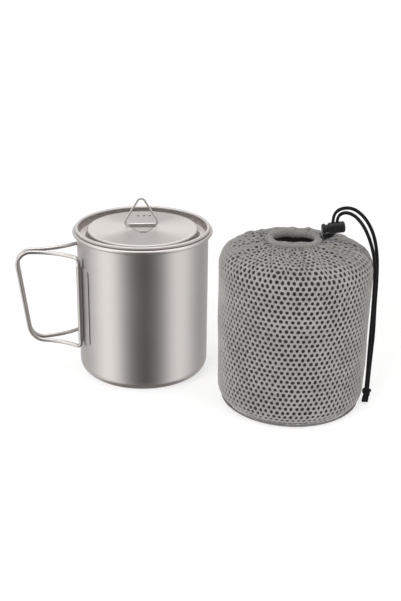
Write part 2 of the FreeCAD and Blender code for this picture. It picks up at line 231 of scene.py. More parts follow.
def makeThreadGroup():
    # Over-and-under threads: two families of round threads, each on top in every other crossing
    group, take, give = newGroup(
        "threads",
        {"Vector": ("Vector", None), "Across": ("Float", 0.4), "Along": ("Float", 0.4)},
        ["Height", "Gap"],
    )
    axes = addNode(group, "SeparateXYZ", {0: take["Vector"]})
    across = calc(group, "DIVIDE", axes.outputs["X"], take["Across"])
    along = calc(group, "DIVIDE", axes.outputs["Y"], take["Along"])
    ridges = []
    for value in (across, along):
        ridges.append(calc(group, "ABSOLUTE", calc(group, "SINE", calc(group, "MULTIPLY", value, pi))))
    cells = calc(group, "ADD", calc(group, "FLOOR", across), calc(group, "FLOOR", along))
    upper = calc(group, "PINGPONG", cells, 1.0)
    lower = calc(group, "SUBTRACT", 1.0, upper)
    first = calc(group, "MULTIPLY", ridges[0], calc(group, "MULTIPLY_ADD", upper, 0.6, 0.4))
    second = calc(group, "MULTIPLY", ridges[1], calc(group, "MULTIPLY_ADD", lower, 0.6, 0.4))
    height = calc(group, "MAXIMUM", first, second)
    group.links.new(height, give["Height"])
    # Gap: the space between the threads, which the cloth materials use as the mask of painted shade
    group.links.new(calc(group, "SUBTRACT", 1.0, height, clamp=True), give["Gap"])
    return group


grainGroup = makeGrainGroup()
edgeGroup = makeEdgeGroup()
threadGroup = makeThreadGroup()

# ---------- materials ----------


def metalMaterial(name, spec):
    # Bare metal: blasted grain in tone and bump, broad patches in roughness, brighter worn edges
    material, tree, shader = newMaterial(name, spec["finish"])
    place = addNode(tree, "TexCoord").outputs["Object"]
    grain = useGroup(tree, grainGroup, {
        "Vector": place, "Grain Size": spec["grain"], "Patch Size": spec["patch"],
    })
    edge = useGroup(tree, edgeGroup, {"Vector": place, "Width": spec["edge"], "Amount": spec["wear"]})
    low, high = spec["tones"]
    speckle = calc(tree, "MULTIPLY_ADD", grain["Grain"], spec["speckle"], 0.5 - spec["speckle"] / 2)
    tone = calc(tree, "MULTIPLY_ADD", grain["Patch"], 0.5, calc(tree, "MULTIPLY", speckle, 0.5))
    body = blendColour(tree, tone, low, high)
    tree.links.new(blendColour(tree, edge["Edge"], body, spec["bright"]), shader.inputs["Base Color"])
    rough = calc(tree, "MULTIPLY_ADD", grain["Patch"], spec["roughSpread"], spec["rough"])
    rough = calc(tree, "MULTIPLY_ADD", edge["Edge"], -0.08, rough)
    tree.links.new(rough, shader.inputs["Roughness"])
    bump = addNode(tree, "Bump", {
        "Height": grain["Grain"], "Distance": spec["relief"], "Strength": 1.0,
    })
    tree.links.new(bump.outputs["Normal"], shader.inputs["Normal"])
    if spec.get("turned"):
        tangent = addNode(tree, "Tangent", direction_type="RADIAL", axis="Z")
        tree.links.new(tangent.outputs[0], shader.inputs["Tangent"])
    return material


titanium = dict(
    finish={"Metallic": 1.0},
    tones=((0.50, 0.472, 0.458, 1), (0.60, 0.572, 0.556, 1)),
    bright=(0.72, 0.69, 0.67, 1),
    grain=0.00028, patch=0.035, speckle=0.9,
    rough=0.31, roughSpread=0.07, relief=0.000010,
    edge=0.00035, wear=0.5,
)
sheetMetal = metalMaterial("blasted_titanium", titanium)
lidMetal = metalMaterial("turned_titanium", {
    **titanium, "finish": {"Metallic": 1.0, "Anisotropic": 0.78}, "turned": True, "rough": 0.45,
    "relief": 0.000006,
})
wireMetal = metalMaterial("drawn_titanium_wire", {
    **titanium,
    "tones": ((0.46, 0.435, 0.42, 1), (0.58, 0.555, 0.54, 1)),
    "grain": 0.0002, "patch": 0.006, "rough": 0.27, "relief": 0.000008, "wear": 0.0,
})
springMetal = metalMaterial("spring_steel", {
    **titanium,
    "tones": ((0.52, 0.52, 0.52, 1), (0.62, 0.62, 0.63, 1)),
    "rough": 0.2, "grain": 0.0001, "patch": 0.002, "relief": 0.000003, "wear": 0.0,
})


def clothMaterial(name, spec):
    # Yarn or weave drawn on the piece's own map, whose unit is a millimetre, with painted shade
    # darkening the gaps between the threads
    material, tree, shader = newMaterial(name, spec["finish"])
    flat = addNode(tree, "UVMap", uv_map="cloth").outputs[0]
    place = addNode(tree, "TexCoord").outputs["Object"]
    thread = useGroup(tree, threadGroup, {
        "Vector": flat, "Across": spec["across"], "Along": spec["along"],
    })
    grain = useGroup(tree, grainGroup, {
        "Vector": place, "Grain Size": spec["fuzz"], "Patch Size": spec["patch"],
    })
    tone = calc(tree, "MULTIPLY_ADD", grain["Patch"], 0.7, calc(tree, "MULTIPLY", grain["Grain"], 0.3))
    yarn = blendColour(tree, tone, spec["dark"], spec["light"])
    # painted shade: the yarn's colour darkens towards the gap colour between the threads, by the Gap
    # mask times gapShade
    shade = calc(tree, "MULTIPLY", thread["Gap"], spec["gapShade"])
    tree.links.new(blendColour(tree, shade, yarn, spec["gapShadeColour"]), shader.inputs["Base Color"])
    rough = calc(tree, "MULTIPLY_ADD", grain["Grain"], 0.12, spec["rough"])
    tree.links.new(rough, shader.inputs["Roughness"])
    fuzz = calc(tree, "MULTIPLY_ADD", grain["Grain"], 0.25, thread["Height"])
    bump = addNode(tree, "Bump", {"Height": fuzz, "Distance": spec["relief"], "Strength": 1.0})
    tree.links.new(bump.outputs["Normal"], shader.inputs["Normal"])
    return material


yarn = dict(
    finish={"Sheen Weight": 0.25, "Sheen Roughness": 0.5, "Specular IOR Level": 0.35},
    # the gap colour is painted shade between the threads
    dark=(0.175, 0.170, 0.165, 1), light=(0.49, 0.479, 0.465, 1), gapShadeColour=(0.07, 0.068, 0.065, 1),
    across=0.55, along=0.42,     # threads in millimetres of the piece's map
    fuzz=0.0004, patch=0.018, gapShade=0.5, rough=0.78, relief=0.00012,
)
meshCloth = clothMaterial("knitted_mesh", yarn)
hemCloth = clothMaterial("woven_hem", {
    **yarn, "dark": (0.20, 0.194, 0.187, 1), "light": (0.34, 0.331, 0.320, 1),
    "across": 0.5, "along": 0.5, "gapShade": 0.7,
})
# painted shade: near-black cloth for the sheet behind the mesh that darkens its holes
holeShadeCloth = clothMaterial("painted_hole_shade", {
    **yarn, "dark": (0.020, 0.019, 0.018, 1), "light": (0.040, 0.038, 0.036, 1),
    "gapShadeColour": (0.008, 0.008, 0.008, 1), "across": 0.8, "along": 0.8,
})
bindingCloth = clothMaterial("base_binding", {
    **yarn, "dark": (0.12, 0.115, 0.11, 1), "light": (0.19, 0.182, 0.175, 1),
    "across": 0.6, "along": 0.35,
})
threadCloth = clothMaterial("sewing_thread", {
    **yarn, "dark": (0.10, 0.097, 0.093, 1), "light": (0.17, 0.165, 0.16, 1),
    "across": 0.2, "along": 0.2,
})
cordCloth = clothMaterial("black_braid", {
    **yarn, "finish": {"Specular IOR Level": 0.12},
    "dark": (0.004, 0.004, 0.0045, 1), "light": (0.011, 0.011, 0.012, 1),
    "gapShadeColour": (0.001, 0.001, 0.001, 1), "across": 0.5, "along": 0.5, "rough": 0.55, "relief": 0.00008,
})


def plasticMaterial(name):
    # Black moulded plastic with a fine spark-eroded grain and rubbed edges
    material, tree, shader = newMaterial(name, {"Specular IOR Level": 0.22})
    place = addNode(tree, "TexCoord").outputs["Object"]
    grain = useGroup(tree, grainGroup, {"Vector": place, "Grain Size": 0.00025, "Patch Size": 0.004})
    edge = useGroup(tree, edgeGroup, {"Vector": place, "Width": 0.0003, "Amount": 0.6})
    body = blendColour(tree, grain["Patch"], (0.005, 0.005, 0.0055, 1), (0.012, 0.012, 0.013, 1))
    worn = blendColour(tree, edge["Edge"], body, (0.050, 0.050, 0.052, 1))
    tree.links.new(worn, shader.inputs["Base Color"])
    rough = calc(tree, "MULTIPLY_ADD", grain["Grain"], 0.18, 0.32)
    tree.links.new(rough, shader.inputs["Roughness"])
    bump = addNode(tree, "Bump", {"Height": grain["Grain"], "Distance": 0.00003, "Strength": 1.0})
    tree.links.new(bump.outputs["Normal"], shader.inputs["Normal"])
    return material


lockPlastic = plasticMaterial("moulded_lock_plastic")
print("materials made")

# ---------- finish of the frame's own parts ----------

nodeFinish = {
    "pot_body": sheetMetal, "front_handle_bracket": sheetMetal, "rear_handle_bracket": sheetMetal,
    "lid_pan": lidMetal, "lid_ring_bracket": sheetMetal,
    "front_handle_wire": wireMetal, "rear_handle_wire": wireMetal, "lid_ring": wireMetal,
    "cord_lock_barrel": lockPlastic, "cord_lock_plunger": lockPlastic,
}
for node, material in nodeFinish.items():
    obj = frame["nodes"][node]
    obj.data.materials.clear()
    obj.data.materials.append(material)
print("frame parts finished")

# ---------- mesh helpers ----------


def putMesh(name, points, faces, material, uv=None):
    # points: one row of x, y, z each; faces: an array of corner numbers, or a list where faces
    # differ in their number of corners; uv: one pair for each point
    rows = faces.tolist() if isinstance(faces, np.ndarray) else faces
    mesh = bpy.data.meshes.new(name)
    mesh.from_pydata(points.tolist(), [], rows)
    mesh.polygons.foreach_set("use_smooth", np.ones(len(faces), bool))
    if uv is not None:
        corners = np.empty(len(mesh.loops), np.int32)
        mesh.loops.foreach_get("vertex_index", corners)
        layer = mesh.uv_layers.new(name="cloth")
        layer.data.foreach_set("uv", uv[corners].astype(np.float32).ravel())
    mesh.materials.append(material)
    mesh.update()
    obj = bpy.data.objects.new(name, mesh)
    scene.collection.objects.link(obj)
    return obj


def gridFaces(rows, columns, closeRows=False, closeColumns=False):
    # Corner numbers of the quads of a grid whose points run along each row first
    r = np.arange(rows if closeRows else rows - 1)[:, None]
    c = np.arange(columns if closeColumns else columns - 1)[None, :]
    nextR = (r + 1) % rows
    nextC = (c + 1) % columns
    corners = [r * columns + c, r * columns + nextC, nextR * columns + nextC, nextR * columns + c]
    return np.stack([np.broadcast_to(k, (r.size, c.size)) for k in corners], -1).reshape(-1, 4)


def attach(obj, body, slot, *nodes):
    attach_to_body(obj, body)
    if nodes:
        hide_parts(*nodes)
    return obj


def smoothStep(value):
    t = np.clip(value, 0, 1)
    return t * t * (3 - 2 * t)


def tubeRings(path, radius, around, reference, shape=None):
    # A ring of points round each point of a path: the side axis is tangent x reference, the other
    # axis is side x tangent, and shape(angle, length) scales the radius
    tangent = np.gradient(path, axis=0)
    tangent /= np.linalg.norm(tangent, axis=1)[:, None]
    side = np.cross(tangent, reference)
    side /= np.linalg.norm(side, axis=1)[:, None]
    other = np.cross(side, tangent)
    steps = np.linalg.norm(np.diff(path, axis=0), axis=1)
    length = np.concatenate([[0], np.cumsum(steps)])
    angle = np.arange(around) * 2 * pi / around
    size = np.full((len(path), around), radius)
    if shape is not None:
        size = size * shape(angle[None, :], length[:, None])
    ring = side[:, None] * np.cos(angle)[None, :, None] + other[:, None] * np.sin(angle)[None, :, None]
    points = path[:, None] + ring * size[..., None]
    uv = np.stack(np.broadcast_arrays(angle[None, :] * radius / mm, length[:, None] / mm), -1)
    return points.reshape(-1, 3), uv.reshape(-1, 2)


def spacedAlong(line, step):
    # The same line with points at equal distances
    steps = np.linalg.norm(np.diff(line, axis=0), axis=1)
    length = np.concatenate([[0], np.cumsum(steps)])
    at = np.linspace(0, length[-1], int(length[-1] / step) + 2)
    return np.stack([np.interp(at, length, line[:, k]) for k in range(3)], 1)


# ---------- drawcord ----------

cord = dict(
    radius=1.2 * mm,
    around=20,
    step=0.3 * mm,
    strands=8,           # ridges of each hand round the braid
    pitch=7.0 * mm,      # length of one turn of a strand
    relief=0.09,
    pinch=0.13,          # the lock squeezes the braid by this share of its radius
    pinched=(8 * mm, 26 * mm),   # thinner stretch, in the lock and just past it, from the buttonhole
    pinchEase=2 * mm,    # length over which it thins
)

# Route of each strand from the buttonhole through the lock, over and down to the knot, in metres
# from the bag's axis on the ground
strandRoutes = {
    "drawcord_strand_a": [
        (0.0148, 0.0022, 0.1196), (0.024795, 0.0, 0.120392), (0.023321, 0.0, 0.134415),
        (0.0275, -0.0005, 0.1402), (0.0365, -0.0016, 0.1410), (0.0450, -0.0034, 0.1345),
        (0.0512, -0.0052, 0.1235), (0.0542, -0.0074, 0.1090), (0.0549, -0.0086, 0.0920),
        (0.0546, -0.0102, 0.0730), (0.0550, -0.0112, 0.0540), (0.0542, -0.0124, 0.0360),
        (0.0539, -0.0122, 0.0240), (0.0537, -0.0124, 0.0110),
    ],
    "drawcord_strand_b": [
        (0.0148, -0.0022, 0.1196), (0.027480, 0.0, 0.120675), (0.026111, 0.0, 0.133703),
        (0.0305, -0.0016, 0.1382), (0.0372, -0.0044, 0.1368), (0.0432, -0.0088, 0.1302),
        (0.0476, -0.0132, 0.1200), (0.0507, -0.0168, 0.1065), (0.0510, -0.0179, 0.0890),
        (0.0514, -0.0173, 0.0710), (0.0516, -0.0162, 0.0530), (0.0520, -0.0146, 0.0360),
        (0.0523, -0.0142, 0.0240), (0.0522, -0.0136, 0.0110),
    ],
}
strandNode = {"drawcord_strand_a": "drawcord_tail_a", "drawcord_strand_b": "drawcord_tail_b"}


def smoothLine(route):
    # The points of the smooth line that the route steers
    curve = bpy.data.curves.new("route", "CURVE")
    curve.dimensions = "3D"
    curve.resolution_u = 24
    spline = curve.splines.new("NURBS")
    spline.points.add(len(route) - 1)
    for point, place in zip(spline.points, route):
        point.co = (*place, 1)
    spline.order_u = 3
    spline.use_endpoint_u = True
    holder = bpy.data.objects.new("route", curve)
    mesh = bpy.data.meshes.new_from_object(holder)
    line = np.array([v.co for v in mesh.vertices])
    bpy.data.meshes.remove(mesh)
    bpy.data.objects.remove(holder)
    bpy.data.curves.remove(curve)
    return line


def braidShape(angle, length):
    # Two families of helical ridges that cross; the higher of the two shows
    turn = length * 2 * pi / cord["pitch"]
    half = cord["strands"] / 2
    ridges = np.maximum(np.abs(np.cos(half * (angle + turn))), np.abs(np.cos(half * (angle - turn))))
    return 1 - cord["relief"] + cord["relief"] * ridges


def pinchedBraid(angle, length):
    # The same braid, thinner where the lock holds it
    start, end = cord["pinched"]
    ease = cord["pinchEase"]
    inLock = smoothStep((length - start) / ease) * smoothStep((end - length) / ease)
    return braidShape(angle, length) * (1 - cord["pinch"] * inLock)


def capped(points, rings, around):
    # A tube's points with one more in the middle of each end ring, and the triangles that close it
    ends = [points[:around].mean(0), points[-around:].mean(0)]
    first = len(points)
    k = np.arange(around)
    nextK = (k + 1) % around
    last = (rings - 1) * around
    start = np.stack([nextK, k, np.full(around, first)], 1)
    finish = np.stack([last + k, last + nextK, np.full(around, first + 1)], 1)
    return np.vstack([points, ends]), np.vstack([start, finish])


def braidMesh(name, paths, references, shape=braidShape):
    # One mesh of braided tubes with closed ends
    allPoints, allFaces, allUv, offset = [], [], [], 0
    for path, reference in zip(paths, references):
        points, uv = tubeRings(path, cord["radius"], cord["around"], reference, shape)
        sides = gridFaces(len(path), cord["around"], closeColumns=True)[:, ::-1]
        points, ends = capped(points, len(path), cord["around"])
        allFaces += (sides + offset).tolist() + (ends + offset).tolist()
        allPoints.append(points)
        allUv.append(np.vstack([uv, uv[:1], uv[-1:]]))
        offset += len(points)
    return putMesh(name, np.vstack(allPoints), allFaces, cordCloth, np.vstack(allUv))


knot = dict(
    place=(0.0530, -0.0130, 0.0083),   # from the bag's axis on the ground
    size=0.80 * mm,
    stretch=(1, 1.1, 1.15),
    points=150,
    ends=((-0.0023, -0.0016), (-0.0004, -0.0020)),   # feet of the two short ends, from its middle
    endHeight=1.45 * mm,
    endPoints=24,
    bow=0.6 * mm,        # the short ends bend away from each other by this much
)


def makeKnot(spec):
    # Overhand knot: x = sin t + 2 sin 2t, z = cos t - 2 cos 2t, y = sin 3t, with two short ends
    t = np.linspace(0, 2 * pi, spec["points"])
    loop = np.stack([np.sin(t) + 2 * np.sin(2 * t), np.sin(3 * t), np.cos(t) - 2 * np.cos(2 * t)], 1)
    centre = bagAxis + np.array(spec["place"])
    paths = [centre + loop * spec["size"] * np.array(spec["stretch"])]
    for x, y in spec["ends"]:
        foot = np.array([centre[0] + x, centre[1] + y, spec["endHeight"]])
        u = np.linspace(0, 1, spec["endPoints"])[:, None]
        bow = np.array([spec["bow"], 0.0, 0.0]) * np.sign(x + 1 * mm) * np.sin(pi * u)
        paths.append(centre + (foot - centre) * u + bow)
    knotMesh = braidMesh("drawcord_knot", paths, [toBack] * len(paths))
    return attach(knotMesh, "bag", "cord", "cord_knot")


spring = dict(
    place=(0.0255, 0.0, 0.1266),   # middle of the cord lock, from the bag's axis on the ground
    tilt=6.0,
    start=4.05 * mm,               # along the lock
    end=5.35 * mm,
    radius=2.0 * mm,
    wire=0.2 * mm,
    turns=3,
    pointsPerTurn=32,
    around=8,
    pressed=0.27,                  # share of its length that is left when the lock is pressed
)


def makeSpring(spec):
    # Helix along the lock's tilted axis
    t = np.linspace(0, 1, spec["turns"] * spec["pointsPerTurn"])
    turn = t * spec["turns"] * 2 * pi
    along = spec["start"] + (spec["end"] - spec["start"]) * t
    tilt = radians(spec["tilt"])
    axis = np.array([np.cos(tilt), 0.0, np.sin(tilt)])
    up = np.array([-np.sin(tilt), 0.0, np.cos(tilt)])
    middle = bagAxis + np.array(spec["place"])
    ring = np.cos(turn)[:, None] * up + np.sin(turn)[:, None] * toBack
    path = middle + along[:, None] * axis + spec["radius"] * ring
    points = tubeRings(path, spec["wire"], spec["around"], axis)[0]
    faces = gridFaces(len(path), spec["around"], closeColumns=True)[:, ::-1]
    coil = putMesh("cord_lock_coil", points, faces, springMetal)
    attach(coil, "bag", "spring_steel", "cord_lock_spring")
    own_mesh(coil)
    return coil


coilPiece = makeSpring(spring)
knotPiece = makeKnot(knot)
for name, route in strandRoutes.items():
    line = spacedAlong(smoothLine(route) + bagAxis, cord["step"])
    strand = braidMesh(name, [line], [toBack], pinchedBraid)
    attach(strand, "bag", "cord", strandNode[name])
print("drawcord laid")

# ---------- storage bag ----------

bag = dict(
    baseRadius=50.6 * mm,
    shoulderRadius=52.3 * mm,
    shoulderHeight=112.0 * mm,
    baseHeight=1.2 * mm,        # cloth lies this far above the ground
    baseCorner=11.0 * mm,
    shoulderCorner=14.0 * mm,
    seamRadius=41.0 * mm,       # the side cloth starts here, under the base
    shoulderBend=13 * mm,       # the cloth starts to gather this far below the shoulder
    domeEnd=2.2 * mm,           # the cloth stops this far outside the middle of the hem
    mouthOval=0.14,             # the mouth is this much shorter from front to back
    holesAround=84,
    rowPitch=3.33 * mm,
    holeWide=0.325,             # half sizes of a hole, in hole spacings
    holeHigh=0.42,
    cellAspect=1.18,            # a cell's width over its height
    unevenness=0.07,            # spread of the holes' sizes, as a share
    wander=0.03,                # spread of their places, in hole spacings
    seed=7,
    crest=0.50 * mm,            # yarn between the holes stands this far out
    crestLoss=0.6,              # share of it that is gone at the mouth
    depth=0.60 * mm,
    bunch=0.030,                # radians by which holes move to a pleat's flanks
    pleat=1.5 * mm,
    pucker=0.35 * mm,
)
hem = dict(
    centre=np.array((hemLow + hemHigh) / 2),
    thickness=(hemHigh.z - hemLow.z) / 2,
    across=420,                 # points round the mouth
    around=28,                  # points round the tube
    slot=(3.2 * mm, 1.5 * mm),  # half width and half height of the buttonhole
    slotRaise=0.9 * mm,         # its middle above the middle of the hem
)
hem["radius"] = (hemHigh.y - hemLow.y) / 2 - hem["thickness"]


def roundedOutline(corners, radii, step=0.25 * mm):
    # Straight lines between corners, each inner corner replaced by the arc that touches both lines
    pieces = [np.array(corners[:1])]
    for k, radius in enumerate(radii):
        before, corner, after = (np.array(corners[k + j]) for j in range(3))
        back = (before - corner) / np.linalg.norm(before - corner)
        ahead = (after - corner) / np.linalg.norm(after - corner)
        half = np.arccos(np.clip(back @ ahead, -1, 1)) / 2
        reach = radius / np.tan(half)
        bisector = (back + ahead) / np.linalg.norm(back + ahead)
        centre = corner + bisector * radius / np.sin(half)
        start, end = corner + back * reach - centre, corner + ahead * reach - centre
        turn = np.arctan2(start[0] * end[1] - start[1] * end[0], start @ end)
        angle = np.linspace(0, turn, 40)[:, None]
        square = np.array([-start[1], start[0]])
        pieces.append(centre + start * np.cos(angle) + square * np.sin(angle))
    pieces.append(np.array(corners[-1:]))
    line = np.vstack(pieces)
    length = np.concatenate([[0], np.cumsum(np.linalg.norm(np.diff(line, axis=0), axis=1))])
    at = np.linspace(0, length[-1], int(length[-1] / step))
    return np.stack([np.interp(at, length, line[:, k]) for k in range(2)], 1), at


bagLine, bagLineLength = roundedOutline(
    [
        (bag["seamRadius"], bag["baseHeight"]), (bag["baseRadius"], bag["baseHeight"]),
        (bag["shoulderRadius"], bag["shoulderHeight"]),
        (hem["radius"] + bag["domeEnd"], hem["centre"][2]),
    ],
    [bag["baseCorner"], bag["shoulderCorner"]],
)
clothLength = bagLineLength[-1]
gatherHeight = bag["shoulderHeight"] - bag["shoulderBend"]
shoulderStart = bagLineLength[np.argmax(bagLine[:, 1] > gatherHeight)]


def pleatWave(angle):
    # Irregular gathers: three waves whose phases wander
    return (
        0.55 * np.sin(23 * angle + 0.9 * np.sin(3 * angle))
        + 0.30 * np.sin(31 * angle + 1.3 + 0.7 * np.sin(2 * angle))
        + 0.15 * np.sin(47 * angle + 2.1)
    )


def bagSurface(angle, length, inset=0.0):
    # Outline turned about the bag's axis, at this angle and this length of cloth from the base
    # seam.  Towards the mouth the cloth gathers into radial pleats, its centre moves to the mouth's,
    # and holes bunch on the flanks; the wall has shallow dents, and the shoulder puckers.
    r = np.interp(length, bagLineLength, bagLine[:, 0])
    z = np.interp(length, bagLineLength, bagLine[:, 1])
    dr = np.interp(length, bagLineLength, np.gradient(bagLine[:, 0], bagLineLength))
    dz = np.interp(length, bagLineLength, np.gradient(bagLine[:, 1], bagLineLength))
    share = (length - shoulderStart) / (clothLength - shoulderStart)
    gather = smoothStep(share)
    bunched = angle + bag["bunch"] * gather * np.cos(23 * angle + 0.9 * np.sin(3 * angle))
    up = z / bag["shoulderHeight"]
    wall = np.sin(pi * np.clip(up, 0, 1))
    dents = (
        0.45 * np.sin(2 * angle + 0.8) * np.sin(2.2 * pi * up)
        + 0.30 * np.sin(5 * angle + 9 * up)
        + 0.15 * np.sin(9 * angle - 14 * up + 1)
    ) * mm * wall
    folds = np.sin(12 * angle + 0.8 * np.sin(5 * angle))
    pucker = bag["pucker"] * folds * smoothStep(share * 3) * (1 - gather)
    fade = gather * (1 - 0.6 * smoothStep((share - 0.8) / 0.2))
    out = dents + pucker + bag["pleat"] * fade * pleatWave(angle) - inset
    r = r + dz * out
    z = z - dr * out
    x = r * np.cos(bunched) + gather * (hem["centre"][0] - bagAxis[0])
    y = r * np.sin(bunched) * (1 - bag["mouthOval"] * gather)
    return np.stack([x + bagAxis[0], y + bagAxis[1], z], -1)


def pushedOut(angle, length, height):
    # A point at this height over the cloth, along the cloth's own normal
    step = 1e-4
    base = bagSurface(angle, length)
    across = bagSurface(angle + step / bag["shoulderRadius"], length) - base
    along = bagSurface(angle, length + step) - base
    normal = np.cross(across, along)
    normal /= np.linalg.norm(normal, axis=-1)[..., None]
    return base + normal * height[..., None]


def makeMeshCloth():
    # Knitted mesh: staggered six-sided cells, each with an oval hole.  A cell's rim is shared with
    # its neighbours; its hole has an edge ring and a ring turned inwards.
    count, pitch = bag["holesAround"], bag["rowPitch"]
    rows = int(clothLength / pitch)
    start = (clothLength - (rows - 1) * pitch) / 2
    column, row = np.meshgrid(np.arange(count), np.arange(rows))
    column, row = column.ravel(), row.ravel()
    # rim points of a cell, in quarters of the hole spacing and sixths of the row pitch
    rim = np.array([
        (2, 0), (2, 2), (1, 3), (0, 4), (-1, 3), (-2, 2),
        (-2, 0), (-2, -2), (-1, -3), (0, -4), (1, -3), (2, -2),
    ])
    rimX = (column * 4 + (row % 2) * 2)[:, None] + rim[:, 0]
    rimY = (row * 6)[:, None] + rim[:, 1]
    # one number for each place on the rims, so that neighbours share their points
    rimX, rimY = rimX.ravel(), rimY.ravel()
    rowsApart = rimY.max() - rimY.min() + 1
    keys = (rimX % (4 * count)) * rowsApart + rimY - rimY.min()
    unique, firstSeen, shared = np.unique(keys, return_index=True, return_inverse=True)
    rimAngle = rimX[firstSeen] / 4 * 2 * pi / count
    rimLength = np.clip(start + rimY[firstSeen] / 6 * pitch, 0, clothLength)
    turn = np.arctan2(rim[:, 1] / 6, rim[:, 0] / 4 * bag["cellAspect"])
    chance = np.random.default_rng(bag["seed"])
    cells, corners = len(column), len(rim)
    stretch = 1 + bag["unevenness"] * chance.standard_normal((2, cells, 1))
    shift = bag["wander"] * chance.standard_normal((2, cells, 1))
    holeX = (column + (row % 2) * 0.5)[:, None] + shift[0] + bag["holeWide"] * stretch[0] * np.cos(turn)
    holeY = start + (row[:, None] + shift[1] + bag["holeHigh"] * stretch[1] * np.sin(turn)) * pitch
    holeAngle = (holeX * 2 * pi / count).ravel()
    holeLength = np.clip(holeY.ravel(), 0, clothLength)
    towardsMouth = smoothStep((rimLength - shoulderStart) / (clothLength - shoulderStart))
    squeeze = 1 - bag["crestLoss"] * towardsMouth
    points = np.vstack([
        pushedOut(rimAngle, rimLength, bag["crest"] * squeeze),
        pushedOut(holeAngle, holeLength, np.zeros_like(holeAngle)),
        pushedOut(holeAngle, holeLength, np.full_like(holeAngle, -bag["depth"])),
    ])
    outer = shared.reshape(cells, corners)
    edge = len(unique) + np.arange(cells * corners).reshape(cells, corners)
    inner = edge + cells * corners
    quads = []
    for first, second in ((outer, edge), (edge, inner)):
        nextFirst, nextSecond = np.roll(first, -1, 1), np.roll(second, -1, 1)
        quads.append(np.stack([first, nextFirst, nextSecond, second], -1).reshape(-1, 4))
    angle = np.concatenate([rimAngle, holeAngle, holeAngle])
    length = np.concatenate([rimLength, holeLength, holeLength])
    uv = np.stack([angle * bag["shoulderRadius"] / mm, length / mm], 1)
    return putMesh("bag_mesh_cloth", points, np.vstack(quads), meshCloth, uv)


# sheet of painted shade behind the mesh: its inset and number of points
holeShade = dict(inset=1.0 * mm, across=252, rows=110)


def makeHoleShade():
    # A near-black sheet close behind the mesh, which keeps the holes dark: painted shade standing in
    # for the shade inside the bag
    across, rows = holeShade["across"], holeShade["rows"]
    angle, length = np.meshgrid(
        np.arange(across) * 2 * pi / across, np.linspace(0, clothLength, rows), indexing="xy"
    )
    points = bagSurface(angle, length, holeShade["inset"]).reshape(-1, 3)
    uv = np.stack([angle * bag["shoulderRadius"] / mm, length / mm], -1).reshape(-1, 2)
    return putMesh("bag_painted_hole_shade", points, gridFaces(rows, across, closeColumns=True), holeShadeCloth, uv)


def makeHem():
    # Tube of cloth round the mouth, a little oval.  Its minor radius swells between the creases of
    # the gathers: 1 - depth * crease, crease = (1 - |sin(n turn)|) ^ 3, deepest on the outer side;
    # a window is left open at the buttonhole.
    across, around = hem["across"], hem["around"]
    turn, ring = np.meshgrid(
        np.arange(across) * 2 * pi / across, np.arange(around) * 2 * pi / around, indexing="ij"
    )
    drawn = turn + 0.10 * np.sin(3 * turn + 0.4) + 0.05 * np.sin(7 * turn)
    crease = (1 - np.abs(np.sin(17 * drawn))) ** 3 * (0.45 + 0.55 * np.sin(5 * turn + 1) ** 2)
    swell = 0.06 * pleatWave(turn) - 0.26 * crease * (0.6 + 0.4 * np.cos(ring - 0.6))
    size = hem["thickness"] * (0.99 + swell)
    wander = 0.45 * mm * np.sin(3 * turn + 0.5) + 0.25 * mm * np.sin(8 * turn)
    r = hem["radius"] + size * np.cos(ring) + 0.3 * mm * np.sin(5 * turn)
    points = np.stack([
        hem["centre"][0] + r * np.cos(turn),
        hem["centre"][1] + r * np.sin(turn) * (1 - bag["mouthOval"]),
        hem["centre"][2] + size * np.sin(ring) + wander,
    ], -1).reshape(-1, 3)
    uv = np.stack([turn * hem["radius"] / mm * 1.6, ring * hem["thickness"] / mm], -1).reshape(-1, 2)
    faces = gridFaces(across, around, closeRows=True, closeColumns=True)
    middle = points[faces].mean(1) - hem["centre"]
    wide, high = hem["slot"]
    window = (
        (np.abs(middle[:, 1]) < wide)
        & (middle[:, 0] > hem["radius"])
        & (np.abs(middle[:, 2] - hem["slotRaise"]) < high)
    )
    return putMesh("bag_hem", points, faces[~window], hemCloth, uv)


base = dict(
    height=0.5 * mm,      # of the cloth's edge
    crown=0.5 * mm,       # its middle is this much higher
    ripple=0.12 * mm,
    core=0.02,            # share of the radius that one round face fills
    rings=30, across=120,
)


def makeBase():
    # Round base cloth with a low crown and six ripples at its edge
    rings, across = base["rings"], base["across"]
    radius, angle = np.meshgrid(
        np.linspace(base["core"], 1, rings), np.arange(across) * 2 * pi / across, indexing="ij"
    )
    r = radius * bag["seamRadius"]
    z = base["height"] + base["crown"] * (1 - radius ** 2) + base["ripple"] * np.sin(6 * angle) * radius
    points = np.stack([bagAxis[0] + r * np.cos(angle), bagAxis[1] + r * np.sin(angle), z], -1)
    uv = np.stack([r * np.cos(angle), r * np.sin(angle)], -1).reshape(-1, 2) / mm
    faces = gridFaces(rings, across, closeColumns=True)[:, ::-1].tolist() + [list(range(across))]
    return putMesh("bag_base_cloth", points.reshape(-1, 3), faces, hemCloth, uv)


binding = dict(
    radius=47.4 * mm, height=2.3 * mm, thickness=1.0 * mm,
    lowest=0.3 * mm,      # the tape is flat underneath, this far above the ground
    flatness=0.35, lean=40.0,
    across=360, around=14,
)


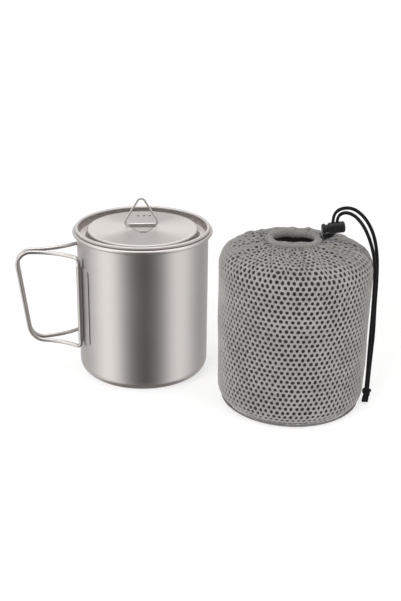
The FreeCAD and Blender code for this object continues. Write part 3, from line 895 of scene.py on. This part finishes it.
def makeBinding():
    # Folded tape over the seam round the foot of the bag: a ring whose section is an oval that
    # leans outwards and whose thickness has forty small waves
    across, around = binding["across"], binding["around"]
    centre = bagAxis + upward * binding["height"]
    angle = np.linspace(0, 2 * pi, across + 1)[:-1]
    out = np.stack([np.cos(angle), np.sin(angle), np.zeros(across)], 1)
    path = centre + out * binding["radius"]
    ring = np.arange(around) * 2 * pi / around
    oval = 1 + binding["flatness"] * np.cos(2 * (ring - radians(binding["lean"])))
    size = binding["thickness"] * oval[None, :] * (1 + 0.05 * np.sin(40 * angle))[:, None]
    points = (
        path[:, None]
        + out[:, None] * (size * np.cos(ring))[..., None]
        + upward * (size * np.sin(ring))[..., None]
    ).reshape(-1, 3)
    points[:, 2] = np.maximum(points[:, 2], binding["lowest"])
    turn = np.repeat(angle * binding["radius"] / mm, around)
    uv = np.stack([turn, np.tile(ring, across)], 1)
    faces = gridFaces(across, around, closeRows=True, closeColumns=True)
    return putMesh("bag_base_binding", points, faces, bindingCloth, uv)


def stitchRow(name, middles, along, size):
    # One small round-ended stitch at each middle, drawn along its own direction: its radius runs
    # as the root of 1 - t ^ 4, with t from -1 to 1 along it
    rings, around = 7, 8
    length, radius = size
    t = np.linspace(-1, 1, rings)
    width = np.sqrt(np.clip(1 - t ** 4, 0, 1)) * radius + 0.02 * radius
    along = along / np.linalg.norm(along, axis=1)[:, None]
    side = np.cross(along, upward + 1e-3)
    side /= np.linalg.norm(side, axis=1)[:, None]
    other = np.cross(side, along)
    angle = np.arange(around) * 2 * pi / around
    ring = side[:, None, None] * np.cos(angle)[:, None] + other[:, None, None] * np.sin(angle)[:, None]
    points = (
        middles[:, None, None] + along[:, None, None] * (t * length / 2)[:, None, None]
        + ring * width[:, None, None]
    ).reshape(-1, 3)
    one = gridFaces(rings, around, closeColumns=True)[:, ::-1]
    shift = np.arange(len(middles)) * rings * around
    faces = (one[None] + shift[:, None, None]).reshape(-1, 4)
    uv = np.stack([points[:, 0], points[:, 2]], 1) / mm
    return putMesh(name, points, faces, threadCloth, uv)


# For each seam: the length and radius of a stitch, and where the stitches lie
baseSeam = dict(stitch=(1.25 * mm, 0.2 * mm), count=150, outside=0.86 * mm, above=0.85 * mm, slope=0.15)
hemSeam = dict(stitch=(1.5 * mm, 0.22 * mm), count=46, belowMouth=1.4 * mm, above=0.35 * mm)
buttonhole = dict(stitch=(1.1 * mm, 0.24 * mm), count=44, half=(3.3 * mm, 1.75 * mm))


def makeBaseStitches():
    angle = np.arange(baseSeam["count"]) * 2 * pi / baseSeam["count"]
    out = np.stack([np.cos(angle), np.sin(angle), 0 * angle], 1)
    along = np.stack([-np.sin(angle), np.cos(angle), baseSeam["slope"] + 0 * angle], 1)
    reach = binding["radius"] + baseSeam["outside"]
    middles = bagAxis + out * reach + upward * (binding["height"] + baseSeam["above"])
    return stitchRow("bag_base_stitches", middles, along, baseSeam["stitch"])


def makeHemStitches():
    count = hemSeam["count"]
    angle = (np.arange(count) + 0.5) * 2 * pi / count
    length = np.full(count, clothLength - hemSeam["belowMouth"])
    above = np.full(count, hemSeam["above"])
    middles = pushedOut(angle, length, above)
    along = pushedOut(angle + 0.02, length, above) - middles
    return stitchRow("bag_hem_stitches", middles, along, hemSeam["stitch"])


def makeButtonhole():
    # Close satin stitches round the slot where the cord leaves the hem
    turn = np.arange(buttonhole["count"]) * 2 * pi / buttonhole["count"]
    wide, high = buttonhole["half"]
    across = wide * np.cos(turn)
    up = high * np.sin(turn)
    r = hem["radius"] + np.sqrt(np.clip((hem["thickness"] * 1.02) ** 2 - up ** 2, 0, None))
    angle = across / r
    middles = np.stack([
        hem["centre"][0] + r * np.cos(angle),
        hem["centre"][1] + r * np.sin(angle) * (1 - bag["mouthOval"]),
        hem["centre"][2] + hem["slotRaise"] + up,
    ], 1)
    outward = np.stack([0 * turn, np.cos(turn) / wide, np.sin(turn) / high], 1)
    return stitchRow("bag_buttonhole_stitches", middles, outward, buttonhole["stitch"])


def makeCordInHem():
    # The part of the drawcord that runs inside the hem, seen only through the buttonhole
    angle = np.linspace(radians(12), radians(348), 320)
    flat = np.stack([np.cos(angle), np.sin(angle) * (1 - bag["mouthOval"]), 0 * angle], 1)
    path = hem["centre"] + flat * hem["radius"]
    return braidMesh("drawcord_in_hem", [path], [upward])


clothPiece = attach(makeMeshCloth(), "bag", "mesh_fabric", "bag_side_panel")
print("mesh cloth made", len(clothPiece.data.polygons))
holeShadePiece = attach(makeHoleShade(), "bag", "mesh_fabric")
hemPiece = attach(makeHem(), "bag", "hem_fabric", "bag_hem_channel")
basePiece = attach(makeBase(), "bag", "hem_fabric", "bag_base_panel")
bindingPiece = attach(makeBinding(), "bag", "hem_fabric")
attach(makeCordInHem(), "bag", "cord", "drawcord_loop")
stitchPieces = [
    attach(makeBaseStitches(), "bag", "hem_fabric"),
    attach(makeHemStitches(), "bag", "hem_fabric"),
    attach(makeButtonhole(), "bag", "hem_fabric"),
]
# the metal reflects only the studio's cards
for obj in scene.objects:
    if obj.name.startswith(("bag_", "drawcord_")):
        obj.visible_glossy = False
print("bag sewn")

# ---------- spot welds ----------

weld = dict(
    radius=1.35 * mm,
    crown=0.05 * mm,
    lift=0.02 * mm,
    groove=0.035 * mm,
    rings=9, around=28,
    core=0.04,                             # share of the radius that one round face fills
    plateRadius=48.0 * mm,                 # outside of the bracket's plate, from the pot's axis
    angle=28.2,                            # degrees either side of the handle
    heights=(-21.8 * mm, 0.0, 21.8 * mm),  # from the plate's middle
    tabPlace=(0.9 * mm, -5.6 * mm),
    tabThickness=0.5 * mm,
)


def weldDisc(place, normal, up, cylinder=None):
    # Shallow lens with a ring groove, at share s of its radius: crown * (1 - s ^ 2), less a groove
    # round s = 0.72; on a cylinder it also falls away to both sides
    rings, around = weld["rings"], weld["around"]
    s, a = np.meshgrid(
        np.linspace(weld["core"], 1, rings), np.arange(around) * 2 * pi / around, indexing="ij"
    )
    side = np.cross(up, normal)
    across = s * weld["radius"] * np.cos(a)
    along = s * weld["radius"] * np.sin(a)
    groove = weld["groove"] * np.exp(-((s - 0.72) / 0.12) ** 2)
    rise = weld["crown"] * (1 - s ** 2) + weld["lift"] - groove
    if cylinder:
        rise = rise - across ** 2 / (2 * cylinder)
    points = place + side * across[..., None] + up * along[..., None] + normal * rise[..., None]
    return points.reshape(-1, 3)


def joinDiscs(name, discs):
    # One mesh of all the discs, each with a round face in its middle
    rings, around = weld["rings"], weld["around"]
    disc = gridFaces(rings, around, closeColumns=True)
    faces = []
    for offset in range(0, len(discs) * rings * around, rings * around):
        faces += (disc + offset).tolist()
        faces.append([offset + k for k in range(around)][::-1])
    return putMesh(name, np.vstack(discs), faces, sheetMetal)


def makeBracketWelds():
    middle = (plateLow.z + plateHigh.z) / 2
    discs = []
    for side in (-1, 1):
        turn = radians(weld["angle"]) * side
        normal = np.array([-np.cos(turn), np.sin(turn), 0.0])
        for height in weld["heights"]:
            place = normal * weld["plateRadius"] + upward * (middle + height)
            discs.append(weldDisc(place, normal, upward, weld["plateRadius"]))
    return joinDiscs("bracket_spot_welds", discs)


def makeTabWeld():
    place = np.array([*weld["tabPlace"], tabLow.z + weld["tabThickness"]])
    return joinDiscs("tab_spot_weld", [weldDisc(place, upward, toBack)])


attach(makeBracketWelds(), "pot", "titanium_sheet")
attach(makeTabWeld(), "lid", "titanium_sheet")
print("spot welds added")

# ---------- studio ----------

studio = dict(
    floorSize=8.0,
    fade=(0.35, 0.9),           # distance from the pot's axis where the floor turns plain white
    floorGlow=(0.5, 1.0, 1.3),  # share of plain white near the set and far from it, and its level
    drumRadius=1.2,
    drumHeight=1.6,
    ceiling=(0.75, 1.35, 2.5),  # half side, height and brightness of the card overhead
    world=(0.26, 0.248, 0.238, 1),
    worldStrength=1.0,
)


def putSquare(name, half, height, material):
    points = np.array([(-half, -half), (half, -half), (half, half), (-half, half)])
    points = np.hstack([points, np.full((4, 1), height)])
    return putMesh(name, points, np.array([[0, 1, 2, 3]]), material)


def makeFloor():
    # A pale floor that turns into plain white away from the set
    material, tree, shader = newMaterial("studio_floor", {"Roughness": 0.9, "Specular IOR Level": 0.1})
    shader.inputs["Base Color"].default_value = (0.92, 0.92, 0.92, 1)
    place = addNode(tree, "TexCoord").outputs["Object"]
    reach = addNode(tree, "VectorMath", {0: place}, operation="LENGTH").outputs["Value"]
    near, far = studio["fade"]
    nearShare, farShare, level = studio["floorGlow"]
    share = addNode(
        tree, "MapRange", {0: reach, 1: near, 2: far, 3: nearShare, 4: farShare},
        interpolation_type="SMOOTHSTEP",
    )
    plain = addNode(tree, "Emission", {"Color": (1, 1, 1, 1), "Strength": level})
    mix = addNode(tree, "MixShader", {0: share.outputs[0], 1: shader.outputs[0], 2: plain.outputs[0]})
    tree.links.new(mix.outputs[0], tree.nodes["Material Output"].inputs["Surface"])
    floor = putSquare("studio_floor", studio["floorSize"] / 2, 0.0, material)
    floor.visible_glossy = False


# Brightness of the reflection cards round the set: degrees from the front, towards +X, and level
cardLevels = [
    (0, 0.09), (14, 0.13), (24, 0.24), (34, 0.48), (44, 0.92), (55, 1.34), (68, 1.34), (82, 1.00),
    (95, 0.72), (110, 0.46), (130, 0.52), (180, 0.76), (228, 0.66), (248, 0.70), (264, 0.90),
    (277, 1.26), (290, 1.56), (303, 1.52), (315, 1.04), (325, 0.52), (336, 0.24), (347, 0.13),
    (360, 0.09),
]


def makeCards():
    # A drum of white cards and dark gaps, and a card overhead, which only reflections show
    columns, rows = 180, 2
    angle, height = np.meshgrid(np.arange(columns) * 2 * pi / columns, [-1.0, 1.0], indexing="xy")
    points = np.stack([
        studio["drumRadius"] * np.sin(angle), -studio["drumRadius"] * np.cos(angle),
        studio["drumHeight"] * height,
    ], -1).reshape(-1, 3)
    material, tree = emptyMaterial("reflection_cards")
    axes = addNode(tree, "SeparateXYZ", {0: addNode(tree, "TexCoord").outputs["Object"]})
    turn = calc(tree, "ARCTAN2", axes.outputs["X"], calc(tree, "MULTIPLY", axes.outputs["Y"], -1.0))
    share = calc(tree, "FRACT", calc(tree, "ADD", calc(tree, "DIVIDE", turn, 2 * pi), 1.0))
    ramp = addNode(tree, "ValToRGB", {0: share})
    ramp.color_ramp.interpolation = "B_SPLINE"
    top = max(level for _, level in cardLevels)
    stops = ramp.color_ramp.elements
    stops.remove(stops[1])
    for degree, level in cardLevels:
        stop = stops.new(degree / 360) if degree else stops[0]
        stop.color = (level / top, level / top * 0.995, level / top * 0.985, 1)
    lift = addNode(tree, "MapRange", {0: axes.outputs["Z"], 1: 0.0, 2: 0.5, 3: 1.0, 4: 1.45})
    strength = calc(tree, "MULTIPLY", lift.outputs[0], top)
    addGlow(tree, ramp.outputs["Color"], strength)
    half, height, level = studio["ceiling"]
    plain, plainTree = emptyMaterial("ceiling_card")
    addGlow(plainTree, (1, 0.995, 0.985, 1), level)
    cards = [
        putMesh("reflection_cards", points, gridFaces(rows, columns, closeColumns=True), material),
        putSquare("ceiling_card", half, height, plain),
    ]
    for card in cards:
        for ray in ("camera", "diffuse", "transmission", "volume_scatter", "shadow"):
            setattr(card, "visible_" + ray, False)


# Place, aim, side in metres and power in watts
lights = {
    "top_softbox": dict(place=(0.05, 0.10, 1.30), aim=(0.05, 0.0, 0.0), size=1.5, power=7.5),
    "key_softbox": dict(place=(-0.75, -0.95, 0.50), aim=(0.04, -0.03, 0.06), size=0.8, power=14.0),
    "fill_softbox": dict(place=(0.95, -0.7, 0.45), aim=(0.05, -0.03, 0.06), size=0.8, power=7.0),
}


def addLight(name, spec):
    data = bpy.data.lights.new(name, "AREA")
    data.shape = "SQUARE"
    data.size = spec["size"]
    data.energy = spec["power"]
    obj = bpy.data.objects.new(name, data)
    obj.location = spec["place"]
    obj.rotation_euler = (Vector(spec["aim"]) - obj.location).to_track_quat("-Z", "Y").to_euler()
    obj.visible_glossy = False
    scene.collection.objects.link(obj)


def makeWorld():
    world = bpy.data.worlds.new("studio")
    world.use_nodes = True
    tree = world.node_tree
    soft = tree.nodes["Background"]
    soft.inputs["Color"].default_value = studio["world"]
    soft.inputs["Strength"].default_value = studio["worldStrength"]
    white = addNode(tree, "Background", {"Color": (1, 1, 1, 1), "Strength": 1.0})
    seen = addNode(tree, "LightPath").outputs["Is Camera Ray"]
    mix = addNode(tree, "MixShader", {0: seen, 1: soft.outputs[0], 2: white.outputs[0]})
    tree.links.new(mix.outputs[0], tree.nodes["World Output"].inputs["Surface"])
    scene.world = world


makeFloor()
makeCards()
makeWorld()
for name, spec in lights.items():
    addLight(name, spec)
print("studio ready")
